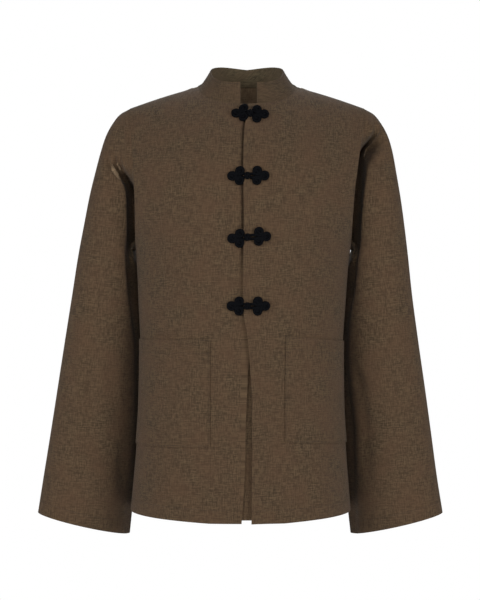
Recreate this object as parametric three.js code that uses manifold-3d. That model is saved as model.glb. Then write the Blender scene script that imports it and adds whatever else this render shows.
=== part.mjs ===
// A linen jacket with a stand collar, filled out as if worn, in millimetres.
// +X is the wearer's left, +Y the wearer's back and +Z up. The origin is the middle of the neck's base.
import * as THREE from 'three';
import Module from 'manifold-3d';

const { Vector3 } = THREE;
const { sin, cos, sqrt, abs, min, max, sign, asin, PI } = Math;
const wasm = await Module();
wasm.setup();

// Cloth
const CLOTH = 1.8;            // wall of the garment's panels, seam allowances included
const SEAM_GAP = 0.3;         // between two pieces that are sewn together
const SEAM_PROUD = 0.4;       // a sleeve's edge stands out this much from the panels beside it
const LAP = CLOTH + 0.6;      // how far the left front stands out over the right one

// Shoulders, neck and armholes
const NECK_HALF = 78;         // from the middle to the inner end of a shoulder seam
const NECK_Z = 17.5;          // height of that end
const TIP_X = 189;            // from the middle to the outer end of a shoulder seam
const TIP_Z = -17.5;          // height of that end
const UNDERARM_Z = -245;
const NECK_DROP_FRONT = 35;   // the neckline's lowest point, below NECK_Z
const NECK_DROP_BACK = -6;    // at the nape the neckline is higher than at the sides
const NECK_POWER = 2.2;       // roundness of the neckline, 2 being an ellipse
const SIDE_BUNCH = 0.9;       // how evenly a row's points follow the body's round side
const RIDGE_ROUND = 30;       // how softly the two shoulder slopes meet at the neck
const RIDGE_CROWN = 1.4;      // how far a shoulder rises above a straight slope
const RISE_FRONT = 165;       // depth over which the chest comes forward from the shoulder line
const RISE_BACK = 120;
const RISE_POWER = 1.6;

// Hem
const HEM_SIDE = -662;
const HEM_FRONT = -669;
const HEM_BACK = -662;
const FRONT_UNDERARM_LIFT = 8;

// Collar
const COLLAR_TOP = { side: 58.6, front: 61.6, back: 43.6 };      // the top edge's oval, from the middle
const COLLAR_HEIGHT = { front: 36, side: 26.5, back: 27.5 };
const COLLAR_CREST = 4;       // the top edge rises this much between the nape and the sides
const COLLAR_DIP = 3;         // and sinks this much between the sides and the front
const COLLAR_HOLLOW = 0.8;    // below 1 the collar's sides are hollow
const COLLAR_OVAL = 0.85;     // how far the top edge leaves the neckline's form for the oval
const COLLAR_END_LEFT = 15.6; // x of the collar's two front ends
const COLLAR_END_RIGHT = -10.9;
const COLLAR_INSET = 1.8;    // the collar's outer face stands this far inside the neckline
const COLLAR_LIFT = 1.5;      // and this far above it

// Grids: how many cells each piece has
const ARM_CELLS = 12;         // down the front half of an armhole, and down the back half
const NECK_CELLS = 4;         // from the shoulder seam along the neckline
const LOW_CELLS = 9;          // from the underarm to the hem, at the back
const ACROSS_CELLS = 8;       // from a front's strip, or the middle of the back, to the side seam
const POCKET_ROWS = 3;        // over a pocket's height, and above it up to the underarm
const BELOW_ROWS = 3;         // from a pocket to the hem
const ROW_BUNCH = 1.25;       // rows are closer together towards the neck, where the chest curves most

const table = (names, rows) => rows.map((row) =>
  Object.fromEntries(names.split(' ').map((name, i) => [name, row[i]])));

// Horizontal sections of the body, from the hem up. Above the underarm the width is that of the round form
// which the armholes are cut from.
const TORSO = table('z width front back power', [
  [-675, 178, 133, 131, 2.35],
  [-568, 169, 127, 124, 2.30],
  [-487, 164, 122, 118, 2.25],
  [-407, 163, 121, 117, 2.20],
  [-326, 167, 125, 120, 2.20],
  [-245, 173, 129, 124, 2.15],
  [-205, 184, 129, 124, 2.15],
  [-165, 197, 126, 122, 2.15],
  [-125, 208, 122, 120, 2.15],
  [-84, 215, 118, 119, 2.15],
  [-50, 220, 114, 117, 2.15],
  [-20, 224, 110, 115, 2.15],
  [20, 226, 106, 112, 2.15],
]);

// Depth of the back along its middle, from the nape down, and how far to each side it reaches
const NAPE = table('z y', [[-165, 122], [-100, 109], [-60, 94], [-30, 77], [0, 60], [24, 47], [60, 30]]);
const NAPE_HALF = 77;

// The jacket hangs a little to the wearer's right.
const LEAN = table('z x', [
  [-700, -10.5], [-552, -9.5], [-423, -9], [-294, -7.5], [-165, -4.5], [-20, 0], [60, 0],
]);

// Distance of the armhole from the middle
const ARMHOLE = table('z x', [
  [-245, 173], [-205, 172], [-165, 173], [-125, 176.5], [-84, 181], [-50, 185.5], [-17.5, 189],
]);

// Free edges of the two fronts. The left one laps over the right one, and below the waist they part.
const LEFT_EDGE = table('z x', [
  [-675, 16.5], [-570, 17], [-487, 16.5], [-405, 11], [-380, 8.5], [-350, 3], [-320, 1.5], [-200, 0],
  [-80, -4], [-52, -3], [-38, 0], [-16, 1.5],
]);
const RIGHT_EDGE = table('z x', [
  [-675, 1], [-590, 6], [-500, 7.5], [-460, 9.5], [-400, 12], [-310, 14], [-200, 14], [-60, 13], [-16, 12],
]);
const PLACKET = { inside: 12, outside: 20, shorter: 5 };

// Lines down each front that its rows cross at a fixed distance from the middle. The outermost is its
// pocket's inner edge. Each pocket's height is given at that edge and at the side seam.
const FRONTS = table('side lines topZ topSideZ lowZ lowSideZ', [
  [1, [25, 46, 67.5], -381, -391, -545, -553],
  [-1, [25, 48.5], -388, -388, -553, -555],
]);
const [LEFT, RIGHT] = FRONTS;
const LAP_END = 46;           // where the left front has sunk back onto the body
const NARROWEST = 4;          // least width of the columns beside a free edge

// Sections of a sleeve, from the armhole to the cuff: the end nearest the body, the end farthest from it,
// half the depth, the room between the body's side and the front of the left and of the right sleeve, and how
// far both sleeves hang over to the wearer's left of the body's lean.
const SLEEVE = table('innerX innerY innerZ outerX outerY outerZ depth leftRoom rightRoom sway', [
  [180, 5, -245, 204.3, -4, -26.8, 61.8, 1.2, 1.2, 0],
  [177.5, 12, -254, 215.3, -8, -40.8, 59.8, 4.2, 4.2, 0],
  [172, 21, -266, 226.3, -12, -62.8, 58.8, 7.2, 7.2, 0.5],
  [165, 29, -279, 234.3, -15, -90.8, 56.8, 12.2, 14.2, 1],
  [161, 33, -296, 241.3, -16, -122.8, 55.8, 13.2, 19.2, 1],
  [157, 37, -316, 248.8, -16, -159.6, 54.8, 13.2, 19.2, 1],
  [154, 41, -342, 255.8, -15, -201.6, 53.8, 10.2, 17.2, 1],
  [153, 45, -376, 263.8, -13, -253.6, 52.8, 7.2, 12.2, 0.5],
  [155, 49, -418, 272.2, -10, -317.6, 51.8, 8.2, 8.2, 0],
  [159, 50, -470, 282.8, -7, -389.6, 51.8, 11.2, 7.2, 0],
  [163, 50, -530, 295.2, -3, -469.6, 50.8, 16.2, 5.2, 0],
  [168, 49, -592, 307.2, 1, -547.6, 50.8, 14.2, 4.2, -0.5],
  [175, 46, -649, 317.2, 4, -611.6, 50.8, 11.2, 4.2, -1],
  [181, 43, -706, 326.8, 6, -669.6, 49.8, 10.2, 5.2, -0.5],
]);
const SLEEVE_BLEND = 4;       // sections over which the armhole's form turns into the sleeve's own
const SLEEVE_MEET = 6;        // softness of the bend where the sleeve is pressed by the body
const REAR_ROOM = 1;          // between the body's side and the sleeve's back
const CLOSING = { first: -46, step: 12, last: 12, over: 36 };  // depths from which the room narrows to that

// The fold at the front of the armpit, for the first sections of the sleeve: how far outside the armhole's edge
// it lies, how far back it goes, and how fully the section is drawn to it
const TUCK = table('out back share', [[1.5, 38, 1], [7, 68, 1], [15, 42, 0.95], [18.5, 6, 0.75]]);
const TUCK_SIDE = 0.6;        // sine of the angle round the arm at which the tuck has its full depth
const TUCK_LOW = { z: -268, soft: 30 };
// Its upper end on each side, the height over which it deepens there, and how narrow it starts
const TUCK_LEFT = { z: -50, soft: 45, narrow: 0.4, opens: 120 };
const TUCK_RIGHT = { z: -118, soft: 28, narrow: 0.8, opens: 40 };

const POCKET_CLOTH = 1.6;

// Frogs: where each one sits, its two ends in the picture, and how far each leaf hangs below the knot
const FROGS = table('x z leftEnd rightEnd leftDrop rightDrop', [
  [4.4, -35, -25, 34, 0, 3],
  [0, -135.5, -31, 34, 0, 0],
  [0, -228.5, -31, 36.5, 3, 0],
  [0, -335, -32, 35, 0, 0],
]);
const LOBE = { ring: 5.1, cord: 2.7, core: 2, around: 10, sides: 5 };
const LEAF = { reach: 11.6, rise: 7.1, heart: 6.4, stem: 4, flat: 0.75, climb: 9 };
const KNOT = { width: 3.8, height: 6.2, depth: 4.6, sink: 0.2, clear: 0.6 };
const BALL = { down: 5, around: 8 };

const LINEN = new THREE.MeshStandardMaterial({ color: 0x54442f, roughness: 0.95, metalness: 0 });
const CORD = new THREE.MeshStandardMaterial({ color: 0x111214, roughness: 0.8, metalness: 0 });

// A smooth curve through a table's column, which doesn't overshoot between its rows
function curve(rows, key, at, column) {
  const low = rows[0][key];
  const high = rows[rows.length - 1][key];
  const place = min(max(at, low), high);
  let i = 0;
  while (i < rows.length - 2 && place > rows[i + 1][key]) i += 1;
  const slope = (j) => (rows[j + 1][column] - rows[j][column]) / (rows[j + 1][key] - rows[j][key]);
  const tangent = (j) => {
    if (j === 0) return slope(0);
    if (j === rows.length - 1) return slope(j - 1);
    const [before, after] = [slope(j - 1), slope(j)];
    if (before * after <= 0) return 0;
    const [b, a] = [rows[j][key] - rows[j - 1][key], rows[j + 1][key] - rows[j][key]];
    return 3 * (a + b) / ((2 * a + b) / before + (a + 2 * b) / after);
  };
  const step = rows[i + 1][key] - rows[i][key];
  const t = (place - rows[i][key]) / step;
  return (1 + 2 * t) * (1 - t) ** 2 * rows[i][column] + t * (1 - t) ** 2 * step * tangent(i)
    + t * t * (3 - 2 * t) * rows[i + 1][column] + t * t * (t - 1) * step * tangent(i + 1);
}

const torso = (z, column) => curve(TORSO, 'z', z, column);
const lean = (z) => curve(LEAN, 'z', z, 'x');
const ease = (t) => { const s = min(max(t, 0), 1); return s * s * (3 - 2 * s); };
const mix = (a, b, t) => a + (b - a) * t;

// Height of the line over both shoulders
function ridge(x) {
  const soft = (v) => sqrt(v * v + RIDGE_ROUND ** 2);
  const along = (soft(x) - soft(NECK_HALF)) / (soft(TIP_X) - soft(NECK_HALF));
  return mix(NECK_Z, TIP_Z, along) + RIDGE_CROWN * sin(PI * min(max(along, 0), 1));
}

// Depth of the body's surface, negative at the front, before the jacket leans
function bodyY(x, z, back) {
  const power = torso(z, 'power');
  const share = min(abs(x) / torso(z, 'width'), 1);
  const across = (1 - share ** power) ** (1 / power);
  const s = min(max((ridge(x) - z) / (back ? RISE_BACK : RISE_FRONT), 0), 1);
  const rise = (1 - (1 - s) ** RISE_POWER) ** (1 / RISE_POWER);
  if (!back) return -torso(z, 'front') * across * rise;
  const nape = z > NAPE[0].z ? (1 - min(abs(x) / NAPE_HALF, 1) ** 2) ** 2 : 0;
  return across * mix(torso(z, 'back') * rise, curve(NAPE, 'z', z, 'y'), nape);
}

// Normal of the body's surface
function bodyNormal(x, z, back) {
  if (abs(x) > torso(z, 'width') - 0.5) return new Vector3(sign(x), 0, 0);
  const at = (a, b) => new Vector3(a, bodyY(a, b, back), b);
  const across = at(x + 0.5, z).sub(at(x - 0.5, z));
  const up = at(x, z + 0.5).sub(at(x, z - 0.5));
  return across.cross(up).normalize().multiplyScalar(back ? -1 : 1);
}

// Point of the body's surface, moved out along its normal
function onBody(x, z, back, out) {
  return new Vector3(x, bodyY(x, z, back), z).addScaledVector(bodyNormal(x, z, back), out);
}

const leaned = (p) => new Vector3(p.x + lean(p.z), p.y, p.z);

// Neckline seen from the front: angle 0 is the middle, a quarter turn the shoulder seam
function neckPoint(angle, back) {
  const power = 2 / NECK_POWER;
  const x = NECK_HALF * sign(angle) * abs(sin(angle)) ** power;
  return { x, z: NECK_Z - (back ? NECK_DROP_BACK : NECK_DROP_FRONT) * abs(cos(angle)) ** power };
}
const neckAngle = (x) => sign(x) * asin(min((abs(x) / NECK_HALF) ** (NECK_POWER / 2), 1));

// Armhole seen from the front: angle 0 is the shoulder's tip and a half turn the underarm
function armPoint(angle) {
  const z = (TIP_Z + UNDERARM_Z) / 2 + (TIP_Z - UNDERARM_Z) / 2 * cos(angle);
  return { x: curve(ARMHOLE, 'z', z, 'x'), z };
}

// How far down from the neckline to the underarm row k lies, for the rows below the neckline's cells
const rowDepth = (k) => (max(k - NECK_CELLS, 0) / (ARM_CELLS - NECK_CELLS)) ** ROW_BUNCH;
const neckZ = (x, back) => neckPoint(neckAngle(x), back).z;

// Heights of the rows from the underarm to the hem, at the inner end and at the side seam
function lowRows(front) {
  if (!front) return [[HEM_BACK, HEM_SIDE, LOW_CELLS]];
  return [
    [front.topZ, front.topSideZ, POCKET_ROWS],
    [front.lowZ, front.lowSideZ, POCKET_ROWS],
    [HEM_FRONT, HEM_SIDE, BELOW_ROWS],
  ];
}

// Every row of a half panel: k counts down the armhole, and the rows below it have their heights in low
function rowList(front) {
  const rows = [];
  for (let k = 0; k <= ARM_CELLS; k += 1) rows.push({ k });
  let from = [UNDERARM_Z + (front ? FRONT_UNDERARM_LIFT : 0), UNDERARM_Z];
  for (const [z, sideZ, cells] of lowRows(front)) {
    for (let j = 1; j <= cells; j += 1) {
      rows.push({ low: [mix(from[0], z, j / cells), mix(from[1], sideZ, j / cells)] });
    }
    from = [z, sideZ];
  }
  return rows;
}

// Height of a row at a distance from the middle, inside the strip beside a free edge
function rowZ(row, x, back) {
  if (row.low) return row.low[0];
  return mix(neckZ(x, back), UNDERARM_Z + (back ? 0 : FRONT_UNDERARM_LIFT), rowDepth(row.k));
}

// The inner and outer end of a row, and how much the row bunches its points towards the side
function rowEnds(row, innerX, back) {
  if (row.low) {
    const [z, sideZ] = row.low;
    return { inner: { x: innerX, z }, outer: { x: torso(sideZ, 'width'), z: sideZ }, bunch: 1 };
  }
  const { k } = row;
  const onNeck = neckPoint(mix(PI / 2, neckAngle(innerX), k / NECK_CELLS), back);
  const inner = k <= NECK_CELLS ? onNeck : { x: innerX, z: rowZ(row, innerX, back) };
  return { inner, outer: armPoint(PI * k / ARM_CELLS), bunch: ease(k / ARM_CELLS) };
}

// On the shoulder and side seams, where front and back meet, the walls' edges are square to the seam.
function squareToSeam(p, n) {
  return abs(p.y) > SEAM_GAP ? n : new Vector3(n.x, 0, n.z).normalize();
}

// A panel's corner point, with its normal; side is 1 for the wearer's left and -1 for the right
function panelPoint(side, x, z, back, forward = 0) {
  const apart = (back ? 1 : -1) * SEAM_GAP / 2;
  const p = new Vector3(x, bodyY(x, z, back), z);
  const n = squareToSeam(p, bodyNormal(x, z, back));
  const place = leaned(new Vector3(side * x, p.y + apart - forward, z));
  return Object.assign(place, { normal: new Vector3(side * n.x, n.y, n.z) });
}

// The part of a panel between a line down it, at innerX, and the armhole and side seam
function outerGrid(side, innerX, back, front) {
  return rowList(front).map((row) => {
    const { inner, outer, bunch } = rowEnds(row, innerX, back);
    const points = [];
    for (let c = 0; c <= ACROSS_CELLS; c += 1) {
      const u = c / ACROSS_CELLS;
      const f = mix(u, sin(PI / 2 * u) ** SIDE_BUNCH, bunch);
      const x = mix(inner.x, outer.x, f);
      points.push(panelPoint(side, x, row.k === 0 ? ridge(x) : mix(inner.z, outer.z, f), back));
    }
    return points;
  });
}

const leftEdge = (z) => curve(LEFT_EDGE, 'z', z, 'x');
const rightEdge = (z) => curve(RIGHT_EDGE, 'z', z, 'x');

// The strip of a front beside its free edge. Both fronts have a column of points under the other one's edge,
// so that the two layers run parallel where they lap.
function stripGrid(front) {
  const { side, lines } = front;
  const own = side > 0 ? leftEdge : rightEdge;
  const other = side > 0 ? rightEdge : leftEdge;
  const rows = rowList(front).filter((row) => row.low || row.k >= NECK_CELLS);
  return rows.map((row) => {
    const level = rowZ(row, 0, false);
    const edge = side * own(level);
    const columns = [edge, max(side * other(level), edge + NARROWEST), ...lines];
    return columns.map((x) => panelPoint(side, x, rowZ(row, x, false), false, lapForward(side, x)));
  });
}

// How far forward of the body the left front's strip lies
const lapForward = (side, x) => (side > 0 && x < LAP_END ? LAP : 0);

// Turns rows of points into an indexed surface whose faces point out
class Surface {
  constructor() {
    this.points = [];
    this.faces = [];
    this.index = new Map();
  }

  vertex(p) {
    const key = [p.x, p.y, p.z].map((v) => Math.round(v * 1e4)).join(' ');
    if (!this.index.has(key)) {
      this.index.set(key, this.points.length);
      this.points.push(p);
    }
    return this.index.get(key);
  }

  face(a, b, c) {
    if (a !== b && b !== c && c !== a) this.faces.push([a, b, c]);
  }

  // flip turns the faces over, and loop closes each row on itself
  rows(rows, flip, loop = false) {
    const ids = rows.map((row) => row.map((p) => this.vertex(p)));
    for (let r = 0; r < ids.length - 1; r += 1) {
      const count = ids[r].length;
      for (let c = 0; c < (loop ? count : count - 1); c += 1) {
        const next = (c + 1) % count;
        const [p, q, s, t] = [ids[r][c], ids[r][next], ids[r + 1][next], ids[r + 1][c]];
        if (flip) { this.face(p, s, q); this.face(p, t, s); } else { this.face(p, q, s); this.face(p, s, t); }
      }
    }
    return this;
  }

  normals() {
    const normals = this.points.map(() => new Vector3());
    for (const [a, b, c] of this.faces) {
      const ab = this.points[b].clone().sub(this.points[a]);
      const ac = this.points[c].clone().sub(this.points[a]);
      const n = ab.cross(ac);
      for (const i of [a, b, c]) normals[i].add(n);
    }
    return normals.map((n) => n.normalize());
  }

  // Gives the surface a thickness inwards, along each point's own normal where it has one
  thicken(thickness) {
    const normals = this.normals();
    const count = this.points.length;
    const inner = this.points.map((p, i) => p.clone().addScaledVector(p.normal || normals[i], -thickness));
    const faces = this.faces.flatMap(([a, b, c]) => [[a, b, c], [a + count, c + count, b + count]]);
    const edges = new Set(this.faces.flatMap(([a, b, c]) => [`${a} ${b}`, `${b} ${c}`, `${c} ${a}`]));
    for (const edge of edges) {
      const [a, b] = edge.split(' ').map(Number);
      if (!edges.has(`${b} ${a}`)) faces.push([b, a, a + count], [b, a + count, b + count]);
    }
    return geometryOf([...this.points, ...inner], faces);
  }
}

function geometryOf(points, faces) {
  const geometry = new THREE.BufferGeometry();
  geometry.setAttribute('position', new THREE.Float32BufferAttribute(points.flatMap((p) => p.toArray()), 3));
  geometry.setIndex(faces.flat());
  geometry.computeVertexNormals();
  return geometry;
}

function backPiece() {
  const surface = new Surface();
  surface.rows(outerGrid(1, 0, true), false);
  surface.rows(outerGrid(-1, 0, true), true);
  return surface.thicken(CLOTH);
}

function frontPiece(front) {
  const flip = front.side > 0;
  const surface = new Surface().rows(stripGrid(front), flip);
  surface.rows(outerGrid(front.side, front.lines.at(-1), false, front), flip);
  return surface.thicken(CLOTH);
}

// The strip behind the right front's edge, on the same rows
function underPlacket() {
  const rows = rowList(RIGHT).filter((row) => row.low || row.k > NECK_CELLS).map((row) => {
    const z = max(rowZ(row, 0, false), HEM_FRONT + PLACKET.shorter);
    const edge = rightEdge(z);
    return [edge - PLACKET.inside, edge, edge + PLACKET.outside].map((x) => panelPoint(1, x, z, false, -LAP));
  });
  return new Surface().rows(rows, true).thicken(CLOTH);
}

// A patch made from the front's own points, moved out
function pocket(front) {
  const first = ARM_CELLS + POCKET_ROWS;
  const grid = outerGrid(front.side, front.lines.at(-1), false, front);
  const rows = grid.slice(first, first + POCKET_ROWS + 1).map((row) => row.map((p) => {
    const out = p.clone().addScaledVector(p.normal, SEAM_GAP + POCKET_CLOTH);
    return Object.assign(out, { normal: p.normal });
  }));
  return new Surface().rows(rows, front.side > 0).thicken(POCKET_CLOTH);
}

// Points of the armhole, from the shoulder's tip round the front, the underarm and the back
function armholeRing() {
  const ring = [];
  for (let k = 0; k < 2 * ARM_CELLS; k += 1) {
    const { x, z } = armPoint(PI * k / ARM_CELLS);
    const back = k > ARM_CELLS;
    const p = new Vector3(x, k % ARM_CELLS ? bodyY(x, z, back) : 0, z);
    ring.push(Object.assign(p, { normal: squareToSeam(p, bodyNormal(x, z, back)) }));
  }
  return ring;
}

// Width of the body's side at a depth, which the sleeve keeps clear of
function bodySide(y, z) {
  const width = z > UNDERARM_Z ? curve(ARMHOLE, 'z', z, 'x') : torso(z, 'width');
  const depth = torso(z, y > 0 ? 'back' : 'front');
  const power = torso(z, 'power');
  return width * max(1 - (abs(y) / depth) ** power, 0) ** (1 / power);
}

// One section of the sleeve before the body presses it
function sleeveOval(row, blend, armhole) {
  const inner = new Vector3(row.innerX, row.innerY, row.innerZ);
  const outer = new Vector3(row.outerX, row.outerY, row.outerZ);
  const centre = inner.clone().add(outer).multiplyScalar(0.5);
  const half = outer.clone().sub(centre);
  const along = half.clone().normalize();
  const forward = new Vector3(0, -1, 0);
  forward.addScaledVector(along, -forward.dot(along)).normalize();
  return armhole.map((seam, k) => {
    const angle = PI * k / ARM_CELLS;
    const p = centre.clone().addScaledVector(half, cos(angle));
    p.addScaledVector(forward, row.depth * sin(angle));
    p.y = mix(seam.y, p.y, blend);
    return p;
  });
}

// Keeps a sleeve point clear of the body, with the given room at the front and little behind
function clearOfBody(p, room, closesAt) {
  const gap = mix(room, min(room, REAR_ROOM), ease((p.y - closesAt) / CLOSING.over));
  const limit = bodySide(p.y, p.z) + gap;
  const over = p.x - limit;
  p.x = limit + (over + sqrt(over * over + SLEEVE_MEET ** 2)) / 2;
  return p;
}

// Draws a point of the sleeve's front into the fold of the armpit
function tucked(p, seam, tuck, angle, side) {
  const start = side > 0 ? TUCK_LEFT : TUCK_RIGHT;
  const below = start.z - p.z;
  const fold = ease(sin(angle) / TUCK_SIDE) * ease(below / start.soft) * ease((p.z - TUCK_LOW.z) / TUCK_LOW.soft);
  const out = tuck.out * mix(start.narrow, 1, ease(below / start.opens));
  p.x = mix(p.x, seam.x + out, fold * tuck.share);
  p.y += tuck.back * fold;
  return p;
}

function sleeveRings(side) {
  const armhole = armholeRing();
  return SLEEVE.map((row, i) => {
    const blend = ease((i + 1) / SLEEVE_BLEND);
    return sleeveOval(row, blend, armhole).map((p, k) => {
      const closesAt = min(CLOSING.first + CLOSING.step * i, CLOSING.last);
      const clear = clearOfBody(p, side > 0 ? row.leftRoom : row.rightRoom, closesAt);
      const drawn = TUCK[i] ? tucked(clear, armhole[k], TUCK[i], PI * k / ARM_CELLS, side) : clear;
      drawn.x += side * row.sway;
      return drawn;
    });
  });
}

// The sleeve's first ring lies beside the armhole's edge, one seam gap away along the body's surface
function seamRing() {
  const ring = armholeRing();
  const count = ring.length;
  return ring.map((p, k) => {
    const tangent = ring[(k + 1) % count].clone().sub(ring[(k + count - 1) % count]);
    const away = tangent.cross(p.normal).normalize();
    const beside = p.clone().addScaledVector(away, -SEAM_GAP).addScaledVector(p.normal, SEAM_PROUD);
    return Object.assign(beside, { normal: p.normal });
  });
}

function sleeve(side) {
  const mirrored = (v) => v && new Vector3(side * v.x, v.y, v.z);
  const place = (p) => Object.assign(leaned(mirrored(p)), { normal: mirrored(p.normal) });
  const rings = [seamRing(), ...sleeveRings(side)].map((ring) => ring.map(place));
  return new Surface().rows(rings, side < 0, true).thicken(CLOTH);
}

// The collar's width at a height, as a share of the neckline's
const collarPinch = (height) => mix(1, COLLAR_TOP.side / NECK_HALF, height ** COLLAR_HOLLOW);

// A point of the collar over the neckline's point at the given angle
function collarPoint(angle, back, height) {
  const { x, z } = neckPoint(angle, back);
  const y = bodyY(x, z, back);
  const share = abs(cos(angle));
  const end = back ? 'back' : 'front';
  const wave = (back ? COLLAR_CREST : -COLLAR_DIP) * abs(sin(2 * angle));
  const tall = mix(COLLAR_HEIGHT.side, COLLAR_HEIGHT[end], share) + wave;
  const base = new Vector3(x - COLLAR_INSET * sin(angle), y - COLLAR_INSET * sign(y) * share, z + COLLAR_LIFT);
  const oval = (back ? COLLAR_TOP.back : -COLLAR_TOP.front) * share;
  const own = y * COLLAR_TOP[end] / abs(bodyY(0, neckZ(0, back), back));
  const top = new Vector3(x * collarPinch(1), mix(own, oval, COLLAR_OVAL), z + tall);
  const point = base.clone().lerp(top, height);
  point.x = mix(base.x, top.x, height ** COLLAR_HOLLOW);
  return leaned(point);
}

// The angles of the neckline's corners on one side, from the nape to the collar's end, which stays upright
function collarRow(side, height) {
  const front = side > 0 ? LEFT : RIGHT;
  const end = (side > 0 ? COLLAR_END_LEFT : -COLLAR_END_RIGHT) / collarPinch(height);
  const along = (from, to) => Array.from({ length: NECK_CELLS + 1 }, (_, k) => mix(from, to, k / NECK_CELLS));
  const nape = along(0, PI / 2).map((angle) => collarPoint(side * angle, true, height));
  const rest = [...along(PI / 2, neckAngle(front.lines.at(-1))).slice(1)];
  for (const x of [...front.lines.slice(0, -1).reverse(), end]) rest.push(neckAngle(x));
  return [...nape, ...rest.map((angle) => collarPoint(side * angle, false, height))];
}

// The collar stands on the neckline, from its right end round the nape to its left end.
function collar() {
  const rows = [0, 1 / 3, 2 / 3, 1].map((height) => (
    [...collarRow(-1, height).reverse(), ...collarRow(1, height).slice(1)]));
  return new Surface().rows(rows, true).thicken(CLOTH);
}

// Outermost surface near the closing: the right front, rising softly to the left front at its edge
function onClosing(x, z, out) {
  const edge = leftEdge(z);
  const sink = 1 - ease((x - LEFT.lines[0]) / (LAP_END - LEFT.lines[0]));
  const step = LAP * (x < edge ? ease((x - edge + LEAF.climb) / (LEAF.climb - 2)) : sink);
  return leaned(onBody(x, z, false, step + SEAM_GAP + out));
}

const toSolid = (points, faces) => new wasm.Manifold(new wasm.Mesh({
  numProp: 3,
  vertProperties: new Float32Array(points.flatMap((p) => p.toArray())),
  triVerts: new Uint32Array(faces.flat()),
}));

// A ring of cord lying flat, as points in the plane of the cloth with their height above it
function lobeSolid(x, z, place) {
  const surface = new Surface();
  const rows = [];
  for (let i = 0; i < LOBE.around; i += 1) {
    const a = 2 * PI * i / LOBE.around;
    const row = [];
    for (let j = 0; j < LOBE.sides; j += 1) {
      const b = 2 * PI * j / LOBE.sides;
      const r = LOBE.ring + LOBE.cord * cos(b);
      row.push(place(x + r * cos(a), z + r * sin(a), LOBE.cord * (1 + sin(b))));
    }
    rows.push(row);
  }
  rows.push(rows[0]);
  surface.rows(rows, true, true);
  return toSolid(surface.points, surface.faces);
}

// A flattened ball lying on the cloth
function ballSolid(x, z, halfX, halfZ, halfY, place) {
  const surface = new Surface();
  const rows = [];
  for (let i = 0; i <= BALL.down; i += 1) {
    const a = PI * i / BALL.down;
    const row = [];
    for (let j = 0; j < BALL.around; j += 1) {
      const b = 2 * PI * j / BALL.around;
      row.push(place(x + halfX * sin(a) * cos(b), z + halfZ * sin(a) * sin(b), halfY * (1 + cos(a))));
    }
    rows.push(row);
  }
  surface.rows(rows, true, true);
  return toSolid(surface.points, surface.faces);
}

function geometryOfSolid(solid) {
  const { vertProperties, triVerts, numProp } = solid.getMesh();
  const points = [];
  for (let i = 0; i < vertProperties.length; i += numProp) {
    points.push(new Vector3(...vertProperties.slice(i, i + 3)));
  }
  const faces = [];
  for (let i = 0; i < triVerts.length; i += 3) faces.push([...triVerts.slice(i, i + 3)]);
  return geometryOf(points, faces);
}

// A leaf of three cord rings round a small heart, with a stem towards the knot; side 1 is the wearer's left
function leaf(frog, side) {
  const place = (x, z, out) => onClosing(x - lean(frog.z), z, out);
  const end = side > 0 ? frog.rightEnd : frog.leftEnd;
  const tip = end - side * (LOBE.ring + LOBE.cord);
  const inner = tip - side * LEAF.reach;
  const heart = mix(inner, tip, 0.45);
  const level = frog.z - (side > 0 ? frog.rightDrop : frog.leftDrop);
  const near = frog.x + side * (KNOT.width + KNOT.clear);
  const high = LOBE.cord * LEAF.flat;
  const stemAt = [mix(near, heart, 0.5), mix(frog.z, level, 0.5)];
  let solid = ballSolid(heart, level, LEAF.heart, LEAF.heart, high, place);
  solid = solid.add(ballSolid(...stemAt, abs(heart - near) / 2, LEAF.stem, high, place));
  for (const [x, rise] of [[tip, 0], [inner, LEAF.rise], [inner, -LEAF.rise]]) {
    solid = solid.add(lobeSolid(x, level + rise, place));
    solid = solid.add(ballSolid(x, level + rise, LOBE.ring, LOBE.ring, LOBE.core, place));
  }
  return geometryOfSolid(solid);
}

function knot(frog) {
  const place = (x, z, out) => onClosing(x - lean(frog.z), z, out - KNOT.sink);
  const level = frog.z - (frog.leftDrop + frog.rightDrop) / 2;
  return geometryOfSolid(ballSolid(frog.x, level, KNOT.width, KNOT.height, KNOT.depth, place));
}

const jacket = new THREE.Group();

function add(name, geometry, material) {
  const mesh = new THREE.Mesh(geometry, material);
  mesh.name = name;
  jacket.add(mesh);
}

add('back', backPiece(), LINEN);
add('front_left', frontPiece(LEFT), LINEN);
add('front_right', frontPiece(RIGHT), LINEN);
add('under_placket', underPlacket(), LINEN);
add('collar', collar(), LINEN);
add('sleeve_left', sleeve(1), LINEN);
add('sleeve_right', sleeve(-1), LINEN);
add('pocket_left', pocket(LEFT), LINEN);
add('pocket_right', pocket(RIGHT), LINEN);
FROGS.forEach((frog, i) => {
  add(`frog_${i + 1}_left`, leaf(frog, 1), CORD);
  add(`frog_${i + 1}_right`, leaf(frog, -1), CORD);
  add(`frog_${i + 1}_knot`, knot(frog), CORD);
});

export default jacket;
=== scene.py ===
# %% [markdown]
# A linen jacket with a stand collar and four corded frogs, filled out as if somebody wore it. The packed
# model gives the sizes: every cloth piece here is made again as a thin shell on the form of its solid,
# with finer points, soft creases, a woven finish and sewing. Lengths in the tables are millimetres, and
# the meshes are scaled to metres when they are made.

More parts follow.
